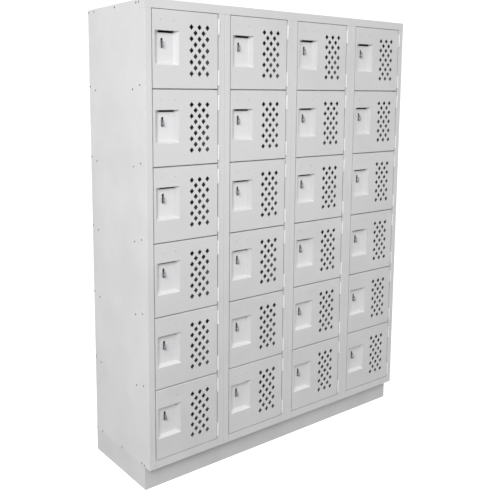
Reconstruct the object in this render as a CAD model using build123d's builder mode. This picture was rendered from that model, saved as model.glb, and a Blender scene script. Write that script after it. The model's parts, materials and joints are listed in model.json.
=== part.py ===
"""Welded steel box locker: columns of small compartments, each with its own hinged, perforated door.

+X runs to the right along the doors, +Y to the back, +Z up. The origin is the centre of the footprint on
the floor, with the hinge knuckles counted in the depth. Every hollow door swings on two five-knuckle butt
hinges on its right-hand edge and carries a drawn finger pan, which has a slot for the fixed padlock eye.
"""

import os

from build123d import *

os.makedirs("parts", exist_ok=True)

# ---------------------------------------------------------------- overall sizes
columns = 4
tiers = 6
column_pitch = 381.0
body_depth = 457.2
overall_height = 1981.2
base_height = 101.6

# ---------------------------------------------------------------- sheet gauges and gaps
frame_gauge = 1.5
panel_gauge = 1.2
door_gauge = 1.5
pan_gauge = 1.2
seam = 0.4
frame_bend = 1.4

# ---------------------------------------------------------------- face frame
stile_width = 30.0
stile_return_margin = 2.4
inner_leg = 40.0
corner_leg = 51.0
top_rail_height = 34.0
bottom_rail_height = 33.0
rail_return = 17.0

# ---------------------------------------------------------------- base
kick_setback = 38.0
kick_return = 15.0
foot_flange = 26.0
floor_hole_radius = 5.0
floor_hole_inset = 90.0

# ---------------------------------------------------------------- shelves
shelf_front_clearance = 2.3
shelf_lip = 14.0
shelf_rise = 6.0
notch_clearance = 0.6

# ---------------------------------------------------------------- wall fixing holes
wall_hole_radius = 4.0
wall_hole_top_inset = 130.0
wall_hole_bottom_inset = 130.0

# ---------------------------------------------------------------- rivets
rivet_head_radius = 3.6
rivet_head_height = 1.4
rivet_head_slope = 35.0
rivet_shank_radius = 2.2
rivet_clearance = 0.05
rivet_leg_inset = 40.0
rivet_front_inset = 97.0
rivet_back_inset = 54.0
rivet_edge_inset = 7.0
rivet_end_front_inset = 63.0
rivet_offset = 16.0
rivet_top_inset = 11.0
rivet_bottom_inset = 7.0

# ---------------------------------------------------------------- doors
door_depth = 18.0
door_bend = 2.4
lock_gap = 4.0
hinge_gap = 4.4
tier_gap = 4.0
plate_hole_radius = 1.6
plate_hole_drop = 39.0
plate_hole_first = 36.0
plate_hole_spacing = 62.4

# ---------------------------------------------------------------- diamond perforations
diamond_width = 21.0
diamond_height = 23.0
diamond_corner = 1.2
diamond_rows = 9
diamond_row_pitch = 22.6
diamond_pitch = 39.2
diamond_margin = 30.0
diamond_offset = 3.05

# ---------------------------------------------------------------- finger pan
pan_left = 9.5
pan_width = 113.0
pan_drop = 78.0
pan_height = 131.0
pan_depth = 17.0
pan_side_slope = 19.0
pan_end_slope = 8.0
pan_corner = 4.0
pan_wall = 1.6
pan_flange = 6.0
grip_margin = 1.5
grip_lip = 2.0

# ---------------------------------------------------------------- padlock eye and its slot
slot_width = 10.0
slot_height = 40.0
slot_left = 52.0
slot_drop = 125.0
eye_thickness = 3.0
eye_height = 28.0
eye_front = 2.5
eye_hole_radius = 4.5
eye_hole_back = 7.4
eye_bracket_clearance = 2.4
eye_slot_clearance = 2.0
eye_nose_radius = 11.0

# ---------------------------------------------------------------- hinges
hinge_length = 62.0
hinge_end_drop = 20.0
hinge_end_rise = 13.0
knuckle_radius = 3.5
knuckle_count = 5
knuckle_gap = 0.6
leaf_gauge = 1.2
leaf_depth = 14.0
leaf_clearance = 0.5
pin_clearance = 0.05
pin_stand_out = 0.8
pin_end_round = 0.5

# ---------------------------------------------------------------- places worked out from the sizes above
width = columns * column_pitch
left_side = -width / 2
face_y = (2 * knuckle_radius - body_depth) / 2
back_y = face_y + body_depth
doors_top = overall_height - top_rail_height
doors_bottom = base_height + bottom_rail_height
tier_pitch = (doors_top - doors_bottom) / tiers
door_width = column_pitch - 2 * stile_width - lock_gap - hinge_gap
door_height = tier_pitch - tier_gap
knuckle_pitch = hinge_length / knuckle_count
pin_radius = knuckle_radius - leaf_gauge - pin_clearance
panel_face = width / 2 - frame_gauge
door_back = max(door_depth, pan_depth + pan_gauge)
shelf_front = max(door_back, rail_return) + shelf_front_clearance
eye_bracket_front = door_back + eye_bracket_clearance
eye_back = eye_bracket_front + eye_thickness
stile_return = eye_back + stile_return_margin
pan_right = pan_left + pan_width
diamond_space = door_width - pan_right - 2 * diamond_margin - diamond_width
diamonds_across = 1 + int(diamond_space // diamond_pitch)
diamond_centre = (pan_right + door_width) / 2 + diamond_offset


def upright(y):
    """Return a vertical plane that faces the front at depth y, with X to the right and Z up."""
    return Plane(origin=(0, y, 0), x_dir=(1, 0, 0), z_dir=(0, -1, 0))


def span(x_low, x_high, y_low, y_high):
    """Add a rectangle to the open sketch, given by the places of its four sides."""
    with Locations(((x_low + x_high) / 2, (y_low + y_high) / 2)):
        Rectangle(x_high - x_low, y_high - y_low)


def column_left(column):
    """Return the X of a column's left boundary, with columns counted from 0."""
    return left_side + column * column_pitch


def tier_line(tier):
    """Return the Z of the joint line above a tier, with tiers counted down from 0."""
    return doors_top - tier * tier_pitch


def write(part, node):
    """Label a finished piece and write it to its own STEP file."""
    part.label = node
    export_step(part, f"parts/{node}.step")


# ================================================================ rivet places on a side panel, as (y, z)
leg_rivets = []
panel_rivets = []
for tier in range(1, tiers):
    level = tier_line(tier)
    leg_rivets.append((face_y + rivet_leg_inset, level + rivet_offset))
    panel_rivets.append((face_y + rivet_front_inset, level))
    panel_rivets.append((back_y - rivet_back_inset, level))
    panel_rivets.append((back_y - rivet_edge_inset, level + rivet_offset))
rail_rivets = [(face_y + rivet_leg_inset, overall_height - rivet_top_inset)]
leg_rivets.append((face_y + rivet_leg_inset, base_height + rivet_bottom_inset))
for level in (overall_height - rivet_top_inset, base_height + rivet_bottom_inset):
    panel_rivets.append((face_y + rivet_end_front_inset, level))
    panel_rivets.append((face_y + body_depth / 2, level))
    panel_rivets.append((back_y - rivet_back_inset, level))
    panel_rivets.append((back_y - rivet_edge_inset, level))


def drill_sides(places, outer_face, depth):
    """Cut a rivet hole at each (y, z) through the outer skin of both sides of the open part."""
    for side in (-1, 1):
        with BuildSketch(Plane.YZ.offset(side * outer_face)) as holes:
            with Locations(*places):
                Circle(rivet_shank_radius + rivet_clearance)
        extrude(holes.sketch, amount=-side * depth, mode=Mode.SUBTRACT)


# ================================================================ side panels, partitions, backs and top
for side, name in ((-1, "side_panel_left"), (1, "side_panel_right")):
    with BuildPart() as side_panel:
        with BuildSketch(Plane.XY.offset(base_height)):
            inner, outer = sorted((side * panel_face, side * (panel_face - panel_gauge)))
            span(inner, outer, face_y + frame_gauge, back_y - panel_gauge)
        extrude(amount=overall_height - panel_gauge - base_height)
        drill_sides(leg_rivets + rail_rivets + panel_rivets, panel_face, panel_gauge)
    write(side_panel.part, name)

with BuildPart() as partitions:
    with BuildSketch(Plane.XY.offset(base_height)):
        for column in range(1, columns):
            x = column_left(column)
            span(x - panel_gauge / 2, x + panel_gauge / 2, face_y + frame_gauge, back_y - panel_gauge)
    extrude(amount=overall_height - panel_gauge - base_height)
write(partitions.part, "partitions")

with BuildPart() as back_panels:
    with BuildSketch(upright(back_y)):
        for column in range(columns):
            low = max(column_left(column) + seam / 2, -panel_face)
            high = min(column_left(column + 1) - seam / 2, panel_face)
            span(low, high, base_height, overall_height)
    extrude(amount=panel_gauge)
    with BuildSketch(upright(back_y)):
        for side in (-1, 1):
            x = side * (width - column_pitch) / 2
            with Locations(
                (x, overall_height - wall_hole_top_inset),
                (x, base_height + wall_hole_bottom_inset),
            ):
                Circle(wall_hole_radius)
    extrude(amount=panel_gauge, mode=Mode.SUBTRACT)
write(back_panels.part, "back_panels")

with BuildPart() as top_panel:
    with BuildSketch(Plane.XY.offset(overall_height)):
        span(-panel_face, panel_face, face_y + frame_gauge, back_y - panel_gauge)
    extrude(amount=-panel_gauge)
write(top_panel.part, "top_panel")

# ================================================================ shelves: a flat tray turned down all round
shelf_wide_y = face_y + corner_leg + notch_clearance


def shelf_outlines(inset):
    """Add the outline of one shelf in each column to the open sketch, drawn in by inset."""
    for column in range(columns):
        low = max(column_left(column) + panel_gauge / 2, -panel_face + panel_gauge)
        high = min(column_left(column + 1) - panel_gauge / 2, panel_face - panel_gauge)
        span(low + inset, high - inset, shelf_wide_y + inset, back_y - panel_gauge - inset)
        mouth_low = column_left(column) + stile_width + notch_clearance
        mouth_high = column_left(column + 1) - stile_width - notch_clearance
        span(mouth_low + inset, mouth_high - inset, face_y + shelf_front + inset, shelf_wide_y + inset)


with BuildPart() as shelves:
    for tier in range(1, tiers + 1):
        shelf_top = tier_line(tier) + shelf_rise
        with BuildSketch(Plane.XY.offset(shelf_top)):
            shelf_outlines(0)
        extrude(amount=-shelf_lip)
        with BuildSketch(Plane.XY.offset(shelf_top - panel_gauge)):
            shelf_outlines(panel_gauge)
        extrude(amount=panel_gauge - shelf_lip, mode=Mode.SUBTRACT)
write(shelves.part, "shelves")


# ================================================================ face frame
def stile_section(edge_x, side, at_corner):
    """Add one stile's channel section to the open sketch; side is the way from its outer edge to the door."""
    leg_start = 0 if at_corner else panel_gauge / 2
    leg_length = corner_leg if at_corner else inner_leg
    face_start = 0 if at_corner else seam / 2
    slabs = (
        (face_start, stile_width, frame_gauge),
        (stile_width - frame_gauge, stile_width, stile_return),
        (leg_start, leg_start + frame_gauge, leg_length),
    )
    for near, far, length in slabs:
        low, high = sorted((edge_x + side * near, edge_x + side * far))
        span(low, high, face_y, face_y + length)


with BuildPart() as face_stiles:
    with BuildSketch(Plane.XY.offset(base_height)) as stile_plan:
        for column in range(columns):
            stile_section(column_left(column), 1, column == 0)
            stile_section(column_left(column + 1), -1, column == columns - 1)
        fillet(stile_plan.vertices().group_by(Axis.Y)[0], frame_bend)
    extrude(amount=doors_top - seam - base_height)
    drill_sides(leg_rivets, width / 2, frame_gauge)
write(face_stiles.part, "face_stiles")

with BuildPart() as face_rails:
    with BuildSketch(upright(face_y)):
        span(left_side, -left_side, doors_top, overall_height)
        for column in range(columns):
            low = column_left(column) + stile_width + seam
            high = column_left(column + 1) - stile_width - seam
            span(low, high, base_height, doors_bottom)
    extrude(amount=-frame_gauge)
    for side in (-1, 1):
        low, high = sorted((side * width / 2, side * panel_face))
        with BuildSketch(upright(face_y)):
            span(low, high, doors_top, overall_height)
        extrude(amount=-corner_leg)
    with BuildSketch(upright(face_y)):
        for column in range(columns):
            low = column_left(column) + stile_width + seam
            high = column_left(column + 1) - stile_width - seam
            span(low, high, doors_top, doors_top + frame_gauge)
            span(low, high, doors_bottom - frame_gauge, doors_bottom)
            span(low, high, base_height, base_height + frame_gauge)
    extrude(amount=-rail_return)
    drill_sides(rail_rivets, width / 2, frame_gauge)
write(face_rails.part, "face_rails")

# ================================================================ closed base, open underneath
base_top = base_height - seam
kick_y = face_y + kick_setback
base_side = panel_face - frame_gauge
foot_end = kick_y + foot_flange + seam

with BuildPart() as base_plinth:
    with BuildSketch(Plane.XY) as wall_plan:
        for column in range(columns):
            low = max(column_left(column) + seam / 2, seam - base_side)
            high = min(column_left(column + 1) - seam / 2, base_side - seam)
            span(low, high, kick_y, kick_y + frame_gauge)
            span(low, low + frame_gauge, kick_y, kick_y + kick_return)
            span(high - frame_gauge, high, kick_y, kick_y + kick_return)
        span(-base_side, -panel_face, kick_y, back_y)
        span(base_side, panel_face, kick_y, back_y)
        span(seam - base_side, base_side - seam, back_y - frame_gauge, back_y)
    extrude(amount=base_top)
    with BuildSketch(Plane.XY):
        for column in range(columns):
            low = max(column_left(column) + seam / 2, seam - base_side)
            high = min(column_left(column + 1) - seam / 2, base_side - seam)
            span(low, high, kick_y, kick_y + foot_flange)
        for side in (-1, 1):
            low, high = sorted((side * panel_face, side * (panel_face - foot_flange)))
            span(low, high, foot_end, back_y - foot_flange - seam)
        span(seam - base_side, base_side - seam, back_y - foot_flange, back_y)
    extrude(amount=frame_gauge)
    with BuildSketch(Plane.XY):
        for side in (-1, 1):
            x = side * (panel_face - foot_flange / 2)
            with Locations((x, kick_y + floor_hole_inset), (x, back_y - floor_hole_inset)):
                Circle(floor_hole_radius)
    extrude(amount=frame_gauge, mode=Mode.SUBTRACT)
write(base_plinth.part, "base_plinth")

# ================================================================ rivets on the two sides
with BuildPart() as side_rivets:
    for side in (-1, 1):
        for places, seat, grip in (
            (leg_rivets + rail_rivets, width / 2, frame_gauge + panel_gauge),
            (panel_rivets, panel_face, panel_gauge),
        ):
            with BuildSketch(Plane.YZ.offset(side * seat)):
                with Locations(*places):
                    Circle(rivet_head_radius)
            extrude(amount=side * rivet_head_height, taper=rivet_head_slope)
            with BuildSketch(Plane.YZ.offset(side * seat)):
                with Locations(*places):
                    Circle(rivet_shank_radius)
            extrude(amount=-side * grip)
write(side_rivets.part, "side_rivets")


# ================================================================ hinge halves, with the pin on the Z axis
def hinge_half(side, knuckles):
    """Add one half of a butt hinge to the open part: a leaf beside the pin and its own knuckles."""
    near, far = sorted((side * hinge_gap / 2, side * (hinge_gap / 2 - leaf_gauge)))
    leaf_front = knuckle_radius + leaf_clearance
    with BuildSketch(Plane.XY) as leaf:
        span(near, far, leaf_front, knuckle_radius + leaf_depth)
    extrude(leaf.sketch, amount=hinge_length)
    for knuckle in knuckles:
        with BuildSketch(Plane.XY.offset(knuckle * knuckle_pitch + knuckle_gap / 2)) as barrel:
            Circle(knuckle_radius)
            span(near, far, 0, leaf_front)
            Circle(pin_radius + pin_clearance, mode=Mode.SUBTRACT)
        extrude(barrel.sketch, amount=knuckle_pitch - knuckle_gap)


with BuildPart() as frame_leaf:
    hinge_half(1, range(0, knuckle_count, 2))

with BuildPart() as door_leaf:
    hinge_half(-1, range(1, knuckle_count, 2))

with BuildPart() as hinge_pin:
    with BuildSketch(Plane.XY.offset(-pin_stand_out)):
        Circle(pin_radius)
    extrude(amount=hinge_length + 2 * pin_stand_out)
    fillet(hinge_pin.edges(), pin_end_round)

pin_x = door_width + hinge_gap / 2
hinge_heights = (hinge_end_rise, door_height - hinge_end_drop - hinge_length)

# ================================================================ one door, from its lower left front corner
with BuildPart() as door:
    with BuildSketch(upright(0)):
        span(0, door_width, 0, door_height)
    extrude(amount=-door_depth)
    fillet(door.faces().sort_by(Axis.Y)[0].edges(), door_bend)
    offset(amount=-door_gauge, openings=door.faces().sort_by(Axis.Y)[-1])
    with BuildSketch(upright(0)):
        with Locations((pan_left + pan_width / 2, door_height - pan_drop - pan_height / 2)):
            RectangleRounded(pan_width, pan_height, pan_corner)
        for hole in range(2):
            with Locations((plate_hole_first + hole * plate_hole_spacing, door_height - plate_hole_drop)):
                Circle(plate_hole_radius)
    extrude(amount=-door_gauge, mode=Mode.SUBTRACT)
    with BuildSketch(upright(0)) as diamonds:
        for row in range(diamond_rows):
            in_row = diamonds_across - row % 2
            height = door_height / 2 + (row - (diamond_rows - 1) / 2) * diamond_row_pitch
            for place in range(in_row):
                with Locations((diamond_centre + (place - (in_row - 1) / 2) * diamond_pitch, height)):
                    Polygon(
                        (diamond_width / 2, 0),
                        (0, diamond_height / 2),
                        (-diamond_width / 2, 0),
                        (0, -diamond_height / 2),
                    )
        fillet(diamonds.vertices(), diamond_corner)
    extrude(amount=-door_gauge, mode=Mode.SUBTRACT)


# ================================================================ drawn finger pan behind the door skin
def pan_section(y, side_draw, end_draw, grow):
    """Return one level of the pan, drawn in from the mouth by the two draws and grown by a wall."""
    with BuildSketch(upright(y)) as section:
        with Locations((pan_left + pan_width / 2, door_height - pan_drop - pan_height / 2)):
            RectangleRounded(
                pan_width - 2 * side_draw + 2 * grow,
                pan_height - 2 * end_draw + 2 * grow,
                pan_corner + grow,
            )
    return section.sketch


with BuildPart() as finger_pan:
    pan_back = pan_section(pan_depth + pan_gauge, pan_side_slope, pan_end_slope, pan_wall)
    loft([pan_section(door_gauge, 0, 0, pan_wall), pan_back])
    extrude(pan_section(door_gauge, 0, 0, pan_flange), amount=-pan_gauge)
    pan_floor = pan_section(pan_depth, pan_side_slope, pan_end_slope, 0)
    loft([pan_section(door_gauge, 0, 0, 0), pan_floor], mode=Mode.SUBTRACT)
    with BuildSketch(upright(pan_depth)):
        with Locations((slot_left, door_height - slot_drop)):
            SlotOverall(slot_height, slot_width, rotation=90)
    extrude(amount=-pan_gauge, mode=Mode.SUBTRACT)
    # finger grip, open through the upper slope and as wide as the flat floor
    with BuildSketch(upright(pan_depth + pan_gauge)):
        span(
            pan_left + pan_side_slope + grip_margin,
            pan_right - pan_side_slope - grip_margin,
            door_height - pan_drop - pan_end_slope,
            door_height - pan_drop + pan_wall,
        )
    extrude(amount=pan_depth + pan_gauge - door_gauge - pan_gauge - grip_lip, mode=Mode.SUBTRACT)

with BuildPart() as door_fittings:
    add(finger_pan.part)
    with Locations(*[(pin_x, -knuckle_radius, height) for height in hinge_heights]):
        add(door_leaf.part)

# ================================================================ fixed padlock eye, in the same door's frame
eye_bottom = door_height - slot_drop - slot_height / 2 + eye_slot_clearance
eye_right = slot_left + eye_thickness / 2

with BuildPart() as padlock_eye:
    with BuildSketch(Plane.XY.offset(eye_bottom)):
        span(eye_right - eye_thickness, eye_right, eye_front, eye_back)
        span(-lock_gap, eye_right, eye_bracket_front, eye_back)
    extrude(amount=eye_height)
    nose = padlock_eye.edges().filter_by(Axis.X).group_by(Axis.Y)[0]
    fillet(nose, eye_nose_radius)
    with BuildSketch(Plane.YZ.offset(eye_right)):
        with Locations((eye_front + eye_hole_back, eye_bottom + eye_height / 2)):
            Circle(eye_hole_radius)
    extrude(amount=-eye_thickness, mode=Mode.SUBTRACT)

# ================================================================ every door place
door_places = {}
for column in range(columns):
    for tier in range(tiers):
        corner = (
            column_left(column) + stile_width + lock_gap,
            face_y,
            tier_line(tier + 1) + tier_gap / 2,
        )
        door_places[f"c{column + 1}_t{tier + 1}"] = corner

for place, corner in door_places.items():
    write(door.part.moved(Location(corner)), f"door_{place}")
    write(door_fittings.part.moved(Location(corner)), f"door_fittings_{place}")

with BuildPart() as padlock_eyes:
    with Locations(*door_places.values()):
        add(padlock_eye.part)
write(padlock_eyes.part, "padlock_eyes")

with BuildPart() as frame_hinges:
    for height in hinge_heights:
        with Locations(*[(x + pin_x, y - knuckle_radius, z + height) for x, y, z in door_places.values()]):
            add(frame_leaf.part)
            add(hinge_pin.part)
write(frame_hinges.part, "frame_hinges")
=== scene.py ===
"""Looks of a welded box locker: pressed doors, drawn finger pans, rolled hinges and powder-coated steel.

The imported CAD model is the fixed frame. Its sheet carcass stays and is dressed here; the doors with their
fittings, the hinge halves and pins, the padlock eyes and the rivets are modelled again with the soft edges,
rolled barrels and rims that the real pressed parts have. Lengths are in metres, in the frame's own axes:
+X to the right along the doors, +Y to the back, +Z up.
"""

import json
import logging
import math
from collections.abc import Callable, Iterator
from contextlib import contextmanager
from dataclasses import dataclass, field
from enum import Enum

import bmesh
import bpy
from mathutils import Matrix, Vector

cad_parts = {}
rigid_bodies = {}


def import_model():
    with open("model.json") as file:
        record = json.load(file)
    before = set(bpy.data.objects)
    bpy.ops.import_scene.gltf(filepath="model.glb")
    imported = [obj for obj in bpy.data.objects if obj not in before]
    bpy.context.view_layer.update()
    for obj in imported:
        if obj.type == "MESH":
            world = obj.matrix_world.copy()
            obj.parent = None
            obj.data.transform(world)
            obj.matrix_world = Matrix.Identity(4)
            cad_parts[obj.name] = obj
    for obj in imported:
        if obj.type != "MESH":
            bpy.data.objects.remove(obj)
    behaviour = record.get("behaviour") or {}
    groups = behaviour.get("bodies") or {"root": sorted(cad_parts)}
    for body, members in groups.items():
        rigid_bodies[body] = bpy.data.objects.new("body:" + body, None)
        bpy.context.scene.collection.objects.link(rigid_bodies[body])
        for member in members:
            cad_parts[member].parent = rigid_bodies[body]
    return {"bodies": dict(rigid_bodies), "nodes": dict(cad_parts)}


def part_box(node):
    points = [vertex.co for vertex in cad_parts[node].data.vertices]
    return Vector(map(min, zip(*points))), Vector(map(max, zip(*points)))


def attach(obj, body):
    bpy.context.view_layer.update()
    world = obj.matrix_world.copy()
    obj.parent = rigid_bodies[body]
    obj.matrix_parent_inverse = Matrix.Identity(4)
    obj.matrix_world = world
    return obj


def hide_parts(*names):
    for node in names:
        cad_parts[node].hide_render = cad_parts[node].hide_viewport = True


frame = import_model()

log = logging.getLogger("box_locker")

MM = 0.001
TOUCH = 0.05 * MM
WELD = 0.001 * MM
ALIGNED = 0.9
LEANING = 0.2
SQUARE_TO = 0.1
BEVEL_ANGLE = math.radians(50)
SMOOTH_ANGLE = math.radians(55)
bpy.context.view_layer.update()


# ---------------------------------------------------------------- bench tools
class Pick(Enum):
    """What pick() looks at in edit mode."""

    EDGE = "EDGE"
    FACE = "FACE"


def deselect_all() -> None:
    """Select nothing, so that the next operator acts on its own piece alone."""
    bpy.ops.object.select_all(action="DESELECT")


@contextmanager
def editing(piece: bpy.types.Object) -> Iterator[None]:
    """Hold one piece in edit mode.

    Args:
        piece: The mesh object to shape.
    """
    deselect_all()
    bpy.context.view_layer.objects.active = piece
    piece.select_set(True)
    bpy.ops.object.mode_set(mode="EDIT")
    yield
    bpy.ops.object.mode_set(mode="OBJECT")
    piece.select_set(False)


def pick(piece: bpy.types.Object, kind: Pick, test: Callable[[Vector, Vector], bool]) -> None:
    """Select the edges or faces that pass a test, in edit mode, and nothing else.

    Args:
        piece: The object in edit mode.
        kind: Whether edges or faces are looked at.
        test: Gets the centre, and an edge's direction or a face's normal.
    """
    bpy.ops.mesh.select_mode(type=kind.value)
    bpy.ops.mesh.select_all(action="DESELECT")
    mesh = bmesh.from_edit_mesh(piece.data)
    if kind is Pick.EDGE:
        for edge in mesh.edges:
            first, last = (vert.co for vert in edge.verts)
            edge.select_set(test((first + last) / 2, (last - first).normalized()))
    else:
        for face in mesh.faces:
            face.select_set(test(face.calc_center_median(), face.normal))
    bmesh.update_edit_mesh(piece.data)


def settle(name: str) -> bpy.types.Object:
    """Name the primitive just added and move its place, turn and size into its mesh.

    Args:
        name: The piece's name.

    Returns:
        The object, now at the origin, unturned and unscaled.
    """
    piece = bpy.context.object
    piece.name = name
    piece.data.name = name
    bpy.ops.object.transform_apply(location=True, rotation=True, scale=True)
    piece.select_set(False)
    return piece


def block(name: str, low: Vector, high: Vector) -> bpy.types.Object:
    """Add a cube that fills a box, as the start of a piece.

    Args:
        name: The piece's name.
        low: The box's lowest corner.
        high: Its highest corner.

    Returns:
        The new object.
    """
    deselect_all()
    bpy.ops.mesh.primitive_cube_add(size=1, location=(low + high) / 2, scale=high - low)
    return settle(name)


def rod(name: str, centre: Vector, radius: float, length: float, axis: str, sides: int) -> bpy.types.Object:
    """Add a cylinder along one axis, as the start of a piece.

    Args:
        name: The piece's name.
        centre: The middle of the cylinder.
        radius: Its radius.
        length: Its length.
        axis: "X", "Y" or "Z".
        sides: How many sides stand for the round.

    Returns:
        The new object.
    """
    turns = {"X": (0, math.pi / 2, 0), "Y": (math.pi / 2, 0, 0), "Z": (0, 0, 0)}
    deselect_all()
    bpy.ops.mesh.primitive_cylinder_add(
        vertices=sides, radius=radius, depth=length, location=centre, rotation=turns[axis]
    )
    return settle(name)


def blank(
    name: str, centre: Vector, size: tuple[float, float], turn: tuple[float, float, float]
) -> bpy.types.Object:
    """Add a flat rectangle, as the start of a piece of sheet.

    Args:
        name: The piece's name.
        centre: The middle of the rectangle.
        size: Its two sides, before the turn, along X and Y.
        turn: The turn about X, Y and Z that stands it up.

    Returns:
        The new object.
    """
    deselect_all()
    bpy.ops.mesh.primitive_plane_add(size=1, location=centre, rotation=turn)
    bpy.context.object.scale = (*size, 1)
    return settle(name)


def modify(piece: bpy.types.Object, kind: str, **settings: object) -> None:
    """Add a modifier to a piece and apply it at once.

    Args:
        piece: The mesh object.
        kind: The modifier's type.
        settings: The modifier's properties.
    """
    modifier = piece.modifiers.new(kind.lower(), kind)
    for key, value in settings.items():
        setattr(modifier, key, value)
    deselect_all()
    bpy.context.view_layer.objects.active = piece
    piece.select_set(True)
    bpy.ops.object.modifier_apply(modifier=modifier.name)
    piece.select_set(False)


def copy_of(master: bpy.types.Object, name: str, shift: Vector) -> bpy.types.Object:
    """Copy a piece with a mesh of its own, moved within its mesh.

    Args:
        master: The piece that is copied.
        name: The copy's name.
        shift: How far the copy stands from it.

    Returns:
        The copy.
    """
    piece = bpy.data.objects.new(name, master.data.copy())
    piece.data.name = name
    piece.data.transform(Matrix.Translation(shift))
    bpy.context.scene.collection.objects.link(piece)
    return piece


def join(name: str, pieces: list[bpy.types.Object]) -> bpy.types.Object:
    """Join several pieces into one object.

    Args:
        name: The whole's name.
        pieces: The pieces, which stop being objects of their own.

    Returns:
        The whole.
    """
    deselect_all()
    for piece in pieces:
        piece.select_set(True)
    whole = pieces[0]
    bpy.context.view_layer.objects.active = whole
    if len(pieces) > 1:
        bpy.ops.object.join()
    whole.name = name
    whole.data.name = name
    whole.select_set(False)
    return whole


def discard(piece: bpy.types.Object) -> None:
    """Remove a master or a cutter that has done its work.

    Args:
        piece: The object to remove with its mesh.
    """
    mesh = piece.data
    bpy.data.objects.remove(piece)
    bpy.data.meshes.remove(mesh)


def cut_away(piece: bpy.types.Object, cutters: list[bpy.types.Object]) -> None:
    """Cut the shapes of all cutters out of a piece and remove the cutters.

    Args:
        piece: The piece that is cut.
        cutters: The shapes to take away.
    """
    cutter = join("cutter", cutters)
    modify(piece, "BOOLEAN", operation="DIFFERENCE", solver="EXACT", object=cutter)
    discard(cutter)


def shade_smooth(piece: bpy.types.Object, angle: float) -> None:
    """Shade a piece smooth wherever its faces meet at less than an angle.

    Args:
        piece: The finished shape.
        angle: The angle, in radians, from which an edge stays sharp.
    """
    deselect_all()
    bpy.context.view_layer.objects.active = piece
    piece.select_set(True)
    bpy.ops.object.shade_smooth_by_angle(angle=angle)
    piece.select_set(False)


def ease_edges(piece: bpy.types.Object, width: float, segments: int = 2) -> None:
    """Round a piece's sharp edges as its coating does, and shade it so that its flats stay flat.

    Args:
        piece: The finished shape.
        width: How far the rounding runs from each edge.
        segments: How many faces stand for the round.
    """
    modify(
        piece, "BEVEL", width=width, segments=segments, limit_method="ANGLE",
        angle_limit=BEVEL_ANGLE, use_clamp_overlap=True,
    )
    shade_smooth(piece, SMOOTH_ANGLE)
    modify(piece, "WEIGHTED_NORMAL", keep_sharp=True)


def solids_of(node: str) -> list[tuple[Vector, Vector]]:
    """Return the lowest and highest corner of each separate solid in a CAD node.

    Args:
        node: The node's name.

    Returns:
        One pair of corners for each solid.
    """
    mesh = bmesh.new()
    mesh.from_mesh(frame["nodes"][node].data)
    bmesh.ops.remove_doubles(mesh, verts=mesh.verts, dist=WELD)
    waiting = set(mesh.verts)
    boxes = []
    while waiting:
        front = [waiting.pop()]
        low, high = front[0].co.copy(), front[0].co.copy()
        while front:
            vert = front.pop()
            low = Vector(map(min, low, vert.co))
            high = Vector(map(max, high, vert.co))
            linked = {edge.other_vert(vert) for edge in vert.link_edges} & waiting
            waiting -= linked
            front.extend(linked)
        boxes.append((low, high))
    mesh.free()
    return boxes


# ---------------------------------------------------------------- finishes
def srgb(code: str) -> tuple[float, float, float, float]:
    """Turn an sRGB hex colour into linear RGBA.

    Args:
        code: Six hex digits.

    Returns:
        Red, green, blue and alpha, each from 0 to 1.
    """
    levels = [int(code[place:place + 2], 16) / 255 for place in (0, 2, 4)]
    linear = [v / 12.92 if v <= 0.04045 else ((v + 0.055) / 1.055) ** 2.4 for v in levels]
    return (*linear, 1.0)


def add_node(
    tree: bpy.types.NodeTree, kind: str, links: dict[str | int, object], **settings: object
) -> bpy.types.Node:
    """Add a shader node with its settings and links.

    Args:
        tree: The material's node tree.
        kind: The node's type name.
        links: For each input, either the output socket that feeds it or its fixed value.
        settings: The node's own properties.

    Returns:
        The new node.
    """
    node = tree.nodes.new(kind)
    for key, value in settings.items():
        setattr(node, key, value)
    for key, value in links.items():
        if isinstance(value, bpy.types.NodeSocket):
            tree.links.new(value, node.inputs[key])
        else:
            node.inputs[key].default_value = value
    return node


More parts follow.
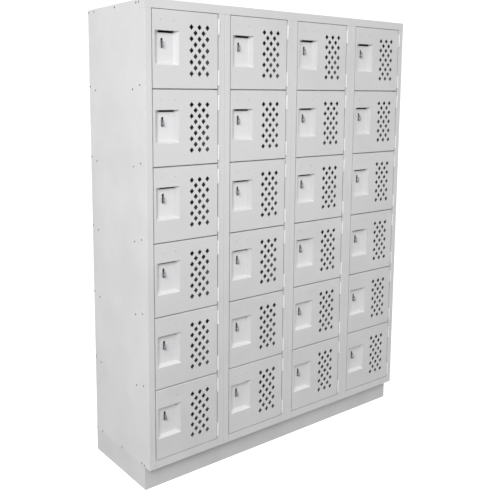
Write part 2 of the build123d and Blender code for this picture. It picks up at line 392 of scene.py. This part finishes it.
@dataclass(frozen=True)
class PowderCoat:
    """Polyester powder coat, sprayed dry and baked on sheet steel.

    It flows out to a satin skin with a faint orange peel, and its film is a little thinner, and so a little
    darker, in broad soft patches. The peel is drawn at twice its real 1.5 mm pitch so that it still shows.
    """

    name: str
    colour: str
    patch_colour: str
    roughness: float = 0.42
    peel_pitch: float = 3.0 * MM
    peel_height: float = 0.012 * MM
    patch_size: float = 160 * MM
    grit_pitch: float = 1.1 * MM

    def material(self) -> bpy.types.Material:
        """Build the coat's node material."""
        material = bpy.data.materials.new(self.name)
        material.use_nodes = True
        tree = material.node_tree
        surface = tree.nodes["Principled BSDF"]
        place = add_node(tree, "ShaderNodeTexCoord", {}).outputs["Object"]
        patches = add_node(
            tree, "ShaderNodeTexNoise",
            {"Vector": place, "Scale": 1 / self.patch_size, "Detail": 3.0, "Roughness": 0.55},
        )
        grit = add_node(
            tree, "ShaderNodeTexNoise", {"Vector": place, "Scale": 1 / self.grit_pitch, "Detail": 1.0}
        )
        blend = add_node(
            tree, "ShaderNodeMath", {0: patches.outputs["Fac"], 1: grit.outputs["Fac"]}, operation="MULTIPLY"
        )
        spread = add_node(
            tree, "ShaderNodeMapRange",
            {"Value": blend.outputs[0], "From Min": 0.12, "From Max": 0.38, "To Min": 0.0, "To Max": 1.0},
        )
        colour = add_node(
            tree, "ShaderNodeMix",
            {"Factor": spread.outputs[0], 6: srgb(self.patch_colour), 7: srgb(self.colour)},
            data_type="RGBA",
        )
        gloss = add_node(
            tree, "ShaderNodeMapRange",
            {
                "Value": patches.outputs["Fac"], "From Min": 0.3, "From Max": 0.7,
                "To Min": self.roughness - 0.04, "To Max": self.roughness + 0.05,
            },
        )
        peel = add_node(
            tree, "ShaderNodeTexNoise", {"Vector": place, "Scale": 1 / self.peel_pitch, "Detail": 2.0}
        )
        bump = add_node(
            tree, "ShaderNodeBump",
            {"Height": peel.outputs["Fac"], "Distance": self.peel_height, "Strength": 1.0},
        )
        tree.links.new(colour.outputs[2], surface.inputs["Base Color"])
        tree.links.new(gloss.outputs[0], surface.inputs["Roughness"])
        tree.links.new(bump.outputs["Normal"], surface.inputs["Normal"])
        surface.inputs["Metallic"].default_value = 0.0
        surface.inputs["IOR"].default_value = 1.5
        return material


@dataclass(frozen=True)
class ZincPlate:
    """Bright zinc electroplate on cold-rolled steel, as on padlock eyes, hinge pins and blind rivets.

    It is a soft grey mirror with fine drawing lines along one axis and a slightly cloudy passivated film.
    The lines are drawn about three times coarser than the real tenth of a millimetre so that they show.
    """

    name: str
    colour: str
    cloud_colour: str
    roughness: float = 0.38
    cloud_size: float = 6 * MM
    line_pitch: float = 0.3 * MM

    def material(self) -> bpy.types.Material:
        """Build the plate's node material."""
        material = bpy.data.materials.new(self.name)
        material.use_nodes = True
        tree = material.node_tree
        surface = tree.nodes["Principled BSDF"]
        place = add_node(tree, "ShaderNodeTexCoord", {}).outputs["Object"]
        clouds = add_node(
            tree, "ShaderNodeTexNoise", {"Vector": place, "Scale": 1 / self.cloud_size, "Detail": 3.0}
        )
        colour = add_node(
            tree, "ShaderNodeMix",
            {"Factor": clouds.outputs["Fac"], 6: srgb(self.cloud_colour), 7: srgb(self.colour)},
            data_type="RGBA",
        )
        drawn = add_node(tree, "ShaderNodeMapping", {"Vector": place, "Scale": (1.0, 1.0, 0.05)})
        lines = add_node(
            tree, "ShaderNodeTexNoise",
            {"Vector": drawn.outputs[0], "Scale": 1 / self.line_pitch, "Detail": 2.0},
        )
        gloss = add_node(
            tree, "ShaderNodeMapRange",
            {
                "Value": clouds.outputs["Fac"], "From Min": 0.3, "From Max": 0.7,
                "To Min": self.roughness - 0.08, "To Max": self.roughness + 0.1,
            },
        )
        bump = add_node(
            tree, "ShaderNodeBump",
            {"Height": lines.outputs["Fac"], "Distance": 0.01 * MM, "Strength": 0.6},
        )
        tree.links.new(colour.outputs[2], surface.inputs["Base Color"])
        tree.links.new(gloss.outputs[0], surface.inputs["Roughness"])
        tree.links.new(bump.outputs["Normal"], surface.inputs["Normal"])
        surface.inputs["Metallic"].default_value = 1.0
        return material


@dataclass
class Finishes:
    """Every finish on the locker, each built once."""

    carcass: PowderCoat = PowderCoat("powder_coat_carcass", "D3D3D3", "CBCBCB")
    frame: PowderCoat = PowderCoat("powder_coat_face_frame", "D3D3D3", "CCCCCC")
    base: PowderCoat = PowderCoat("powder_coat_base", "CECECE", "C5C5C5")
    door: PowderCoat = PowderCoat("powder_coat_door", "D2D2D2", "CACACA")
    # The finger pan gets the door's coat drawn a shade lighter: painted light for its brightly lit pocket
    # walls.
    pan: PowderCoat = PowderCoat("powder_coat_finger_pan_painted_light", "D8D8D9", "D2D2D3", roughness=0.36)
    # The hinges get the cabinet's coat drawn far lighter: a painted highlight for the bright rolled
    # knuckles.
    hinge: PowderCoat = PowderCoat("powder_coat_hinge_painted_highlight", "F2F2F2", "EAEAEA", roughness=0.34)
    eye: ZincPlate = ZincPlate("zinc_plated_eye", "C6C8CB", "A8AAAE", roughness=0.48)
    pin: ZincPlate = ZincPlate("zinc_plated_pin", "B4B6B9", "9C9EA2")
    rivet: ZincPlate = ZincPlate("zinc_plated_rivet", "8C8E91", "76787B", roughness=0.45)
    built: dict[str, bpy.types.Material] = field(default_factory=dict)

    def paint(self, piece: bpy.types.Object, finish: PowderCoat | ZincPlate) -> None:
        """Put one finish, and nothing else, on a piece or a CAD node.

        Args:
            piece: The object to dress.
            finish: The finish it gets.
        """
        if finish.name not in self.built:
            self.built[finish.name] = finish.material()
        piece.data.materials.clear()
        piece.data.materials.append(self.built[finish.name])


# ---------------------------------------------------------------- pressed door
@dataclass
class PressedDoor:
    """Hollow door pressed from one sheet, with its flanges, diamond perforations and holes.

    It is modelled once from its lower left front corner, with the sheet's outer faces on the CAD door's.
    """

    width: float
    height: float
    depth: float
    gauge: float = 1.5 * MM
    bend: float = 2.4 * MM
    edge_round: float = 0.35 * MM
    plate_hole_radius: float = 1.6 * MM
    plate_hole_drop: float = 39.0 * MM
    plate_hole_places: tuple[float, float] = (36.0 * MM, 98.4 * MM)
    diamond_width: float = 21.0 * MM
    diamond_height: float = 23.0 * MM
    diamond_corner: float = 1.2 * MM
    diamond_rows: int = 9
    diamonds_across: int = 3
    row_pitch: float = 22.6 * MM
    diamond_pitch: float = 39.2 * MM
    diamond_inset: float = 92.0 * MM

    def diamond_cutters(self) -> list[bpy.types.Object]:
        """Make a cutter for every diamond, as copies of one with rounded corners."""
        deselect_all()
        bpy.ops.mesh.primitive_cylinder_add(
            vertices=4, radius=1, depth=6 * self.gauge, rotation=(math.pi / 2, 0, 0),
            scale=(self.diamond_width / 2, self.diamond_height / 2, 1),
        )
        diamond = settle("diamond_cutter")
        with editing(diamond):
            pick(diamond, Pick.EDGE, lambda centre, along: abs(along.y) > ALIGNED)
            bpy.ops.mesh.bevel(offset=self.diamond_corner, segments=3, affect="EDGES")
        cutters = []
        for row in range(self.diamond_rows):
            in_row = self.diamonds_across - row % 2
            z = self.height / 2 + (row - (self.diamond_rows - 1) / 2) * self.row_pitch
            for place in range(in_row):
                x = self.width - self.diamond_inset + (place - (in_row - 1) / 2) * self.diamond_pitch
                cutters.append(copy_of(diamond, f"diamond_{row}_{place}", Vector((x, 0, z))))
        discard(diamond)
        return cutters

    def build(self, pan: "FingerPan") -> bpy.types.Object:
        """Model the door sheet.

        Args:
            pan: The finger pan, whose mouth is cut through the sheet.

        Returns:
            The door, in its own frame.
        """
        door = block("pressed_door", Vector((0, 0, 0)), Vector((self.width, self.depth, self.height)))
        with editing(door):
            pick(door, Pick.EDGE, lambda centre, along: centre.y < TOUCH)
            bpy.ops.mesh.bevel(offset=self.bend, segments=5, affect="EDGES")
            pick(door, Pick.FACE, lambda centre, normal: normal.y > ALIGNED)
            bpy.ops.mesh.delete(type="FACE")
        modify(door, "SOLIDIFY", thickness=self.gauge, offset=-1.0, use_even_offset=True)
        mouth = block(
            "mouth_cutter",
            Vector((pan.left, -self.gauge, self.height - pan.drop - pan.height)),
            Vector((pan.left + pan.width, 3 * self.gauge, self.height - pan.drop)),
        )
        with editing(mouth):
            pick(mouth, Pick.EDGE, lambda centre, along: abs(along.y) > ALIGNED)
            bpy.ops.mesh.bevel(offset=pan.corner, segments=5, affect="EDGES")
        holes = [
            rod("hole_cutter", Vector((x, 0, self.height - self.plate_hole_drop)),
                self.plate_hole_radius, 6 * self.gauge, "Y", 16)
            for x in self.plate_hole_places
        ]
        cut_away(door, self.diamond_cutters() + [mouth] + holes)
        ease_edges(door, self.edge_round)
        return door


@dataclass
class FingerPan:
    """Drawn recess behind the door sheet, for the fingers, with a slot for the padlock eye."""

    left: float = 9.5 * MM
    width: float = 113.0 * MM
    drop: float = 78.0 * MM
    height: float = 131.0 * MM
    depth: float = 17.0 * MM
    gauge: float = 1.2 * MM
    side_slope: float = 19.0 * MM
    end_slope: float = 8.0 * MM
    corner: float = 4.0 * MM
    floor_round: float = 2.2 * MM
    flange: float = 6.0 * MM
    slot_width: float = 10.0 * MM
    slot_height: float = 40.0 * MM
    slot_left: float = 52.0 * MM
    slot_drop: float = 125.0 * MM
    grip_margin: float = 1.5 * MM
    grip_lip: float = 2.0 * MM
    edge_round: float = 0.3 * MM

    def build(self, door: PressedDoor) -> bpy.types.Object:
        """Model the pan.

        Args:
            door: The door that it sits behind.

        Returns:
            The pan, in the door's frame.
        """
        centre = Vector((self.left + self.width / 2, door.gauge, door.height - self.drop - self.height / 2))
        wide, high = self.width + 2 * self.flange, self.height + 2 * self.flange
        pan = blank("finger_pan", centre, (wide, high), (math.pi / 2, 0, 0))
        floor_y = self.depth
        narrowing = (self.width - 2 * self.side_slope) / self.width
        lowering = (self.height - 2 * self.end_slope) / self.height
        with editing(pan):
            bpy.ops.mesh.select_all(action="SELECT")
            bpy.ops.mesh.inset(thickness=self.flange)
            bpy.ops.mesh.extrude_region_move(
                TRANSFORM_OT_translate={"value": (0, floor_y - door.gauge, 0)}
            )
            bpy.ops.transform.resize(
                value=(narrowing, 1, lowering), center_override=(centre.x, floor_y, centre.z)
            )
            pick(pan, Pick.EDGE, lambda middle, along: abs(along.y) > LEANING)
            bpy.ops.mesh.bevel(offset=self.corner, segments=5, affect="EDGES")
            pick(pan, Pick.FACE, lambda middle, normal: middle.y > floor_y - TOUCH)
            bpy.ops.mesh.region_to_loop()
            bpy.ops.mesh.bevel(offset=self.floor_round, segments=3, affect="EDGES")
        modify(pan, "SOLIDIFY", thickness=self.gauge, offset=-1.0, use_even_offset=True)
        slot_centre = Vector((self.slot_left, floor_y + self.gauge, door.height - self.slot_drop))
        slot_half = Vector((self.slot_width / 2, 2 * self.gauge, self.slot_height / 2))
        slot = block("slot_cutter", slot_centre - slot_half, slot_centre + slot_half)
        with editing(slot):
            pick(slot, Pick.EDGE, lambda middle, along: abs(along.y) > ALIGNED)
            bpy.ops.mesh.bevel(offset=self.slot_width / 2 - TOUCH, segments=6, affect="EDGES")
        floor_top = door.height - self.drop - self.end_slope
        grip = block(
            "grip_cutter",
            Vector((self.left + self.side_slope + self.grip_margin, door.gauge + self.grip_lip, floor_top)),
            Vector((
                self.left + self.width - self.side_slope - self.grip_margin,
                floor_y + 3 * self.gauge,
                floor_top + self.end_slope + 2 * self.gauge,
            )),
        )
        cut_away(pan, [slot, grip])
        ease_edges(pan, self.edge_round)
        return pan


# ---------------------------------------------------------------- hinges
class Side(Enum):
    """Which half of a butt hinge a leaf is; the value is its way from the pin along X."""

    FRAME = 1
    DOOR = -1


@dataclass
class ButtHinge:
    """Five-knuckle butt hinge whose barrels are rolled from the leaves; its pin runs up the Z axis."""

    length: float = 62.0 * MM
    knuckles: int = 5
    knuckle_radius: float = 3.5 * MM
    knuckle_gap: float = 0.6 * MM
    gauge: float = 1.2 * MM
    depth: float = 14.0 * MM
    clearance: float = 0.5 * MM
    spread: float = 4.4 * MM
    pin_radius: float = 2.25 * MM
    pin_stand_out: float = 0.8 * MM
    roll: float = math.radians(300)
    roll_steps: int = 20
    edge_round: float = 0.15 * MM

    def leaf(self, side: Side) -> bpy.types.Object:
        """Model one leaf with its rolled knuckles.

        Args:
            side: The frame's half, with the odd knuckles, or the door's.

        Returns:
            The leaf, standing on Z = 0.
        """
        x = side.value * (self.spread - self.gauge) / 2
        front, back = self.knuckle_radius + self.clearance, self.knuckle_radius + self.depth
        barrel = self.knuckle_radius - self.gauge / 2
        neck = math.sqrt(barrel**2 - x**2)
        own = range(0 if side is Side.FRAME else 1, self.knuckles, 2)
        pitch = self.length / self.knuckles
        spans = [
            (knuckle * pitch + self.knuckle_gap / 2, (knuckle + 1) * pitch - self.knuckle_gap / 2)
            for knuckle in own
        ]
        leaf = blank(
            f"{side.name.lower()}_hinge_leaf", Vector((x, (front + back) / 2, self.length / 2)),
            (self.length, back - front), (0, math.pi / 2, 0),
        )
        with editing(leaf):
            for height in [end for span in spans for end in span]:
                bpy.ops.mesh.select_all(action="SELECT")
                bpy.ops.mesh.bisect(plane_co=(0, 0, height), plane_no=(0, 0, 1))
            pick(
                leaf, Pick.EDGE,
                lambda centre, along: abs(centre.y - front) < TOUCH
                and any(low < centre.z < high for low, high in spans),
            )
            bpy.ops.mesh.extrude_region_move(TRANSFORM_OT_translate={"value": (0, neck - front, 0)})
            pick(
                leaf, Pick.EDGE,
                lambda centre, along: abs(centre.y - neck) < TOUCH and abs(along.z) > ALIGNED,
            )
            bpy.ops.mesh.spin(
                steps=self.roll_steps, angle=-side.value * self.roll,
                center=(0, 0, self.length / 2), axis=(0, 0, 1),
            )
            bpy.ops.mesh.select_all(action="SELECT")
            bpy.ops.mesh.remove_doubles(threshold=0.01 * MM)
            bpy.ops.mesh.normals_make_consistent(inside=False)
        modify(leaf, "SOLIDIFY", thickness=self.gauge, offset=0.0, use_even_offset=True)
        ease_edges(leaf, self.edge_round, segments=1)
        return leaf

    def pin(self) -> bpy.types.Object:
        """Model the pin with its rounded ends, with the hinge's foot at Z = 0."""
        pin = rod(
            "hinge_pin", Vector((0, 0, self.length / 2)), self.pin_radius,
            self.length + 2 * self.pin_stand_out, "Z", 20,
        )
        with editing(pin):
            pick(pin, Pick.EDGE, lambda centre, along: abs(along.z) < SQUARE_TO)
            bpy.ops.mesh.bevel(offset=self.pin_radius / 3, segments=3, affect="EDGES")
        ease_edges(pin, self.edge_round, segments=1)
        return pin


# ---------------------------------------------------------------- padlock eye
@dataclass
class PadlockEye:
    """Fixed eye: a cropped plate bent from the bracket that is welded behind the stile."""

    thickness: float = 3.0 * MM
    hole_radius: float = 4.5 * MM
    hole_back: float = 7.4 * MM
    nose_radius: float = 11.0 * MM
    edge_round: float = 0.5 * MM

    def build(self, low: Vector, high: Vector) -> bpy.types.Object:
        """Model the eye in the box of its CAD solid.

        Args:
            low: The solid's lowest corner, at the bracket's left end.
            high: The solid's highest corner.

        Returns:
            The eye, in place.
        """
        eye = block("padlock_eye", Vector((high.x - self.thickness, low.y, low.z)), high)
        bracket_front = high.y - self.thickness
        with editing(eye):
            pick(eye, Pick.EDGE, lambda centre, along: abs(along.x) > ALIGNED and centre.y < low.y + TOUCH)
            bpy.ops.mesh.bevel(offset=self.nose_radius, segments=9, affect="EDGES")
            bpy.ops.mesh.select_all(action="SELECT")
            bpy.ops.mesh.bisect(plane_co=(0, bracket_front, 0), plane_no=(0, 1, 0))
            pick(eye, Pick.FACE, lambda centre, normal: normal.x < -ALIGNED and centre.y > bracket_front)
            bpy.ops.mesh.extrude_region_move(
                TRANSFORM_OT_translate={"value": (low.x - high.x + self.thickness, 0, 0)}
            )
        hole_centre = Vector((high.x - self.thickness / 2, low.y + self.hole_back, (low.z + high.z) / 2))
        hole = rod("eye_hole_cutter", hole_centre, self.hole_radius, 3 * self.thickness, "X", 28)
        cut_away(eye, [hole])
        ease_edges(eye, self.edge_round)
        return eye


# ---------------------------------------------------------------- blind rivets
@dataclass
class BlindRivet:
    """Domed blind rivet with the dimple that its snapped mandrel leaves, standing on X = 0."""

    radius: float = 3.6 * MM
    height: float = 1.4 * MM
    dome: float = 1.1 * MM
    mandrel_radius: float = 1.1 * MM
    dimple: float = 0.6 * MM
    smooth_angle: float = math.radians(50)

    def build(self, way: int) -> bpy.types.Object:
        """Model the head.

        Args:
            way: 1 for a head that points along +X, -1 for one that points along -X.

        Returns:
            The head, at the origin.
        """
        head = rod("blind_rivet", Vector((way * self.height / 2, 0, 0)), self.radius, self.height, "X", 14)
        top = way * self.height
        with editing(head):
            pick(
                head, Pick.EDGE,
                lambda centre, along: abs(centre.x - top) < TOUCH and abs(along.x) < SQUARE_TO,
            )
            bpy.ops.mesh.bevel(offset=self.dome, segments=3, affect="EDGES")
            pick(head, Pick.FACE, lambda centre, normal: abs(centre.x - top) < TOUCH)
            bpy.ops.mesh.inset(thickness=self.radius - self.dome - self.mandrel_radius)
            bpy.ops.mesh.extrude_region_move(TRANSFORM_OT_translate={"value": (-way * self.dimple, 0, 0)})
        shade_smooth(head, self.smooth_angle)
        return head


# ---------------------------------------------------------------- assemblies
@dataclass
class Doors:
    """Every door leaf: its pressed sheet, its finger pan and its two hinge leaves."""

    finishes: Finishes
    hinge: ButtHinge
    places: list[str] = field(default_factory=list)

    def build(self, pins: list[Vector]) -> int:
        """Model one door and copy it to every place.

        Args:
            pins: The foot of every hinge pin.

        Returns:
            How many doors were placed.
        """
        prefix = "leaf_"
        self.places = sorted(body[len(prefix):] for body in frame["bodies"] if body.startswith(prefix))
        low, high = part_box(f"door_{self.places[0]}")
        size = high - low
        pan = FingerPan()
        door = PressedDoor(width=size.x, height=size.z, depth=size.y)
        door_master = door.build(pan)
        pan_master = pan.build(door)
        leaf_master = self.hinge.leaf(Side.DOOR)
        for master, finish in (
            (door_master, self.finishes.door),
            # drawn lighter than the door's coat: painted light on the pocket walls
            (pan_master, self.finishes.pan),
            # drawn far lighter than the cabinet's coat: painted highlight on the hinge knuckles
            (leaf_master, self.finishes.hinge),
        ):
            self.finishes.paint(master, finish)
        for place in self.places:
            self.place_door(place, pins, door_master, pan_master, leaf_master)
        for master in (door_master, pan_master, leaf_master):
            discard(master)
        return len(self.places)

    def place_door(
        self,
        place: str,
        pins: list[Vector],
        door_master: bpy.types.Object,
        pan_master: bpy.types.Object,
        leaf_master: bpy.types.Object,
    ) -> None:
        """Copy the masters to one door place and hang them on its body.

        Args:
            place: The door's column and tier, as in its node's name.
            pins: The foot of every hinge pin.
            door_master: The pressed door, in its own frame.
            pan_master: The finger pan, in the door's frame.
            leaf_master: The door's hinge leaf, with its pin on the Z axis.
        """
        low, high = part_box(f"door_{place}")
        reach = self.hinge.spread
        own_pins = [pin for pin in pins if low.z < pin.z < high.z and abs(pin.x - high.x) < reach]
        door = copy_of(door_master, f"pressed_door_{place}", low)
        pan = copy_of(pan_master, f"finger_pan_{place}", low)
        leaves = [copy_of(leaf_master, "door_hinge_leaf", pin) for pin in own_pins]
        leaves = join(f"door_hinge_leaves_{place}", leaves)
        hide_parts(f"door_{place}")
        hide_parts(f"door_fittings_{place}")
        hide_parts(f"door_fittings_{place}")
        for piece in (door, pan, leaves):
            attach(piece, f"leaf_{place}")


@dataclass
class Carcass:
    """The fixed cabinet: CAD sheets with their finishes, and the small hardware modelled again."""

    finishes: Finishes
    hinge: ButtHinge
    body: str = "carcass"

    def dress_sheets(self) -> None:
        """Give every CAD sheet that stays its powder coat."""
        coats = {
            "side_panel_left": self.finishes.carcass,
            "side_panel_right": self.finishes.carcass,
            "partitions": self.finishes.carcass,
            "back_panels": self.finishes.carcass,
            "top_panel": self.finishes.carcass,
            "shelves": self.finishes.carcass,
            "face_stiles": self.finishes.frame,
            "face_rails": self.finishes.frame,
            "base_plinth": self.finishes.base,
        }
        for node, coat in coats.items():
            self.finishes.paint(frame["nodes"][node], coat)
            log.info("%s: %s", node, coat.name)

    def add(self, piece: bpy.types.Object, node: str, slot: str) -> None:
        """Let a piece stand for a CAD node and fix it to the carcass.

        Args:
            piece: The finished piece.
            node: The CAD node that it replaces.
            slot: Its paint slot; not used.
        """
        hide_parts(node)
        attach(piece, self.body)
        log.info("%s: %d faces", piece.name, len(piece.data.polygons))

    def pin_feet(self) -> list[Vector]:
        """Return the foot of every hinge pin's hinge, found from the slim solids of the hinge node."""
        slim = 1.5 * self.hinge.knuckle_radius
        return [
            Vector(((low.x + high.x) / 2, (low.y + high.y) / 2, low.z + self.hinge.pin_stand_out))
            for low, high in solids_of("frame_hinges")
            if high.x - low.x < slim
        ]

    def build_hinges(self, pins: list[Vector]) -> None:
        """Model the frame's hinge leaves and the pins, and copy them to every hinge."""
        leaf_master, pin_master = self.hinge.leaf(Side.FRAME), self.hinge.pin()
        # The hinge coat is the cabinet's drawn far lighter: a painted highlight on the knuckles.
        self.finishes.paint(leaf_master, self.finishes.hinge)
        self.finishes.paint(pin_master, self.finishes.pin)
        for master, name in ((leaf_master, "frame_hinge_leaves"), (pin_master, "hinge_pins")):
            whole = join(name, [copy_of(master, name, foot) for foot in pins])
            self.add(whole, "frame_hinges", "hinge_paint")
            discard(master)

    def build_eyes(self) -> None:
        """Model one padlock eye and copy it to every door."""
        boxes = solids_of("padlock_eyes")
        start = boxes[0][0]
        master = PadlockEye().build(*boxes[0])
        self.finishes.paint(master, self.finishes.eye)
        eyes = [copy_of(master, "padlock_eye", low - start) for low, high in boxes]
        self.add(join("padlock_eye_plates", eyes), "padlock_eyes", "eye_paint")
        discard(master)

    def build_rivets(self) -> None:
        """Model a rivet head for each side and copy it to every rivet."""
        rivet = BlindRivet()
        boxes = solids_of("side_rivets")
        heads = []
        for way in (-1, 1):
            master = rivet.build(way)
            self.finishes.paint(master, self.finishes.rivet)
            for low, high in boxes:
                if low.x * way > 0:
                    outer = high.x if way > 0 else low.x
                    seat = Vector((outer - way * rivet.height, (low.y + high.y) / 2, (low.z + high.z) / 2))
                    heads.append(copy_of(master, "rivet_head", seat))
            discard(master)
        self.add(join("blind_rivet_heads", heads), "side_rivets", "rivet_paint")


# ---------------------------------------------------------------- studio
@dataclass
class SoftLight:
    """One square area light that looks at a point."""

    name: str
    place: tuple[float, float, float]
    target: tuple[float, float, float]
    size: float
    power: float

    def hang(self) -> None:
        """Add the light to the scene."""
        lamp = bpy.data.lights.new(self.name, "AREA")
        lamp.shape = "SQUARE"
        lamp.size = self.size
        lamp.energy = self.power
        light = bpy.data.objects.new(self.name, lamp)
        light.location = self.place
        look = Vector(self.target) - Vector(self.place)
        light.rotation_euler = look.to_track_quat("-Z", "Y").to_euler()
        bpy.context.scene.collection.objects.link(light)


@dataclass
class Studio:
    """Plain pale floor, soft lights and the camera."""

    floor_size: float = 60.0
    floor_colour: str = "F4F4F4"
    floor_glow: float = 0.5
    backdrop_level: float = 1.1
    sky_level: float = 0.75
    ground_level: float = 0.05
    lights: tuple[SoftLight, ...] = (
        SoftLight("key_softbox", (-3.8, -3.2, 3.4), (0.0, -0.2, 1.0), 2.4, 190.0),
        SoftLight("side_softbox", (-5.2, 0.6, 0.5), (-0.76, 0.0, 0.5), 2.6, 125.0),
        SoftLight("front_softbox", (2.6, -5.0, 0.8), (0.3, 0.0, 0.5), 3.0, 125.0),
    )
    eye: tuple[float, float, float] = (-2.1301, -2.4317, 1.6030)
    heading: float = 0.627
    tilt: float = -0.132
    roll: float = -0.002
    lens_in_frame_widths: float = 677.8 / 500
    shift: tuple[float, float] = (0.11, -0.12)

    def lay_floor(self) -> None:
        """Lay the pale floor."""
        deselect_all()
        bpy.ops.mesh.primitive_plane_add(size=self.floor_size)
        floor = settle("studio_floor")
        material = bpy.data.materials.new("matt_studio_floor")
        material.use_nodes = True
        surface = material.node_tree.nodes["Principled BSDF"]
        surface.inputs["Base Color"].default_value = srgb(self.floor_colour)
        surface.inputs["Roughness"].default_value = 0.9
        surface.inputs["Emission Color"].default_value = (1, 1, 1, 1)
        surface.inputs["Emission Strength"].default_value = self.floor_glow
        floor.data.materials.append(material)
        floor.visible_diffuse = False
        floor.visible_glossy = False

    def light_room(self) -> None:
        """Hang the lights, and set the even light round them and the white that the camera sees behind."""
        for light in self.lights:
            light.hang()
        world = bpy.data.worlds.new("white_studio")
        world.use_nodes = True
        bpy.context.scene.world = world
        tree = world.node_tree
        tree.nodes.clear()
        way = add_node(tree, "ShaderNodeTexCoord", {}).outputs["Generated"]
        rise = add_node(tree, "ShaderNodeSeparateXYZ", {"Vector": way}).outputs["Z"]
        level = add_node(
            tree, "ShaderNodeMapRange",
            {
                "Value": rise, "From Min": -0.3, "From Max": 0.6,
                "To Min": self.ground_level, "To Max": self.sky_level,
            },
            interpolation_type="SMOOTHSTEP",
        )
        white = (1, 1, 1, 1)
        ambient = add_node(tree, "ShaderNodeBackground", {"Color": white, "Strength": level.outputs[0]})
        backdrop = add_node(tree, "ShaderNodeBackground", {"Color": white, "Strength": self.backdrop_level})
        path = add_node(tree, "ShaderNodeLightPath", {})
        seen = add_node(
            tree, "ShaderNodeMixShader",
            {0: path.outputs["Is Camera Ray"], 1: ambient.outputs[0], 2: backdrop.outputs[0]},
        )
        add_node(tree, "ShaderNodeOutputWorld", {"Surface": seen.outputs[0]})

    def keep_whites(self) -> None:
        """Show the scene's light as it is, because a film-like curve would turn the white ground grey."""
        bpy.context.scene.view_settings.view_transform = "Standard"

    def place_camera(self) -> None:
        """Set the camera at the viewing angle, with a level horizon and a shifted frame."""
        data = bpy.data.cameras.new("view_camera")
        data.sensor_width = 36.0
        data.lens = self.lens_in_frame_widths * data.sensor_width
        data.shift_x, data.shift_y = self.shift
        data.clip_end = 200.0
        camera = bpy.data.objects.new("view_camera", data)
        aim = Matrix.Rotation(-self.heading, 4, "Z") @ Matrix.Rotation(math.pi / 2 + self.tilt, 4, "X")
        camera.matrix_world = Matrix.Translation(self.eye) @ aim @ Matrix.Rotation(self.roll, 4, "Z")
        bpy.context.scene.collection.objects.link(camera)
        bpy.context.scene.camera = camera


def main() -> None:
    """Build the looks in order and report each piece."""
    logging.basicConfig(level=logging.INFO, format="%(name)s: %(message)s")
    finishes = Finishes()
    hinge = ButtHinge()
    carcass = Carcass(finishes, hinge)
    carcass.dress_sheets()
    pins = carcass.pin_feet()
    carcass.build_hinges(pins)
    carcass.build_eyes()
    carcass.build_rivets()
    log.info("doors: %d", Doors(finishes, hinge).build(pins))
    studio = Studio()
    studio.lay_floor()
    studio.light_room()
    studio.keep_whites()
    studio.place_camera()


if __name__ == "__main__":
    main()
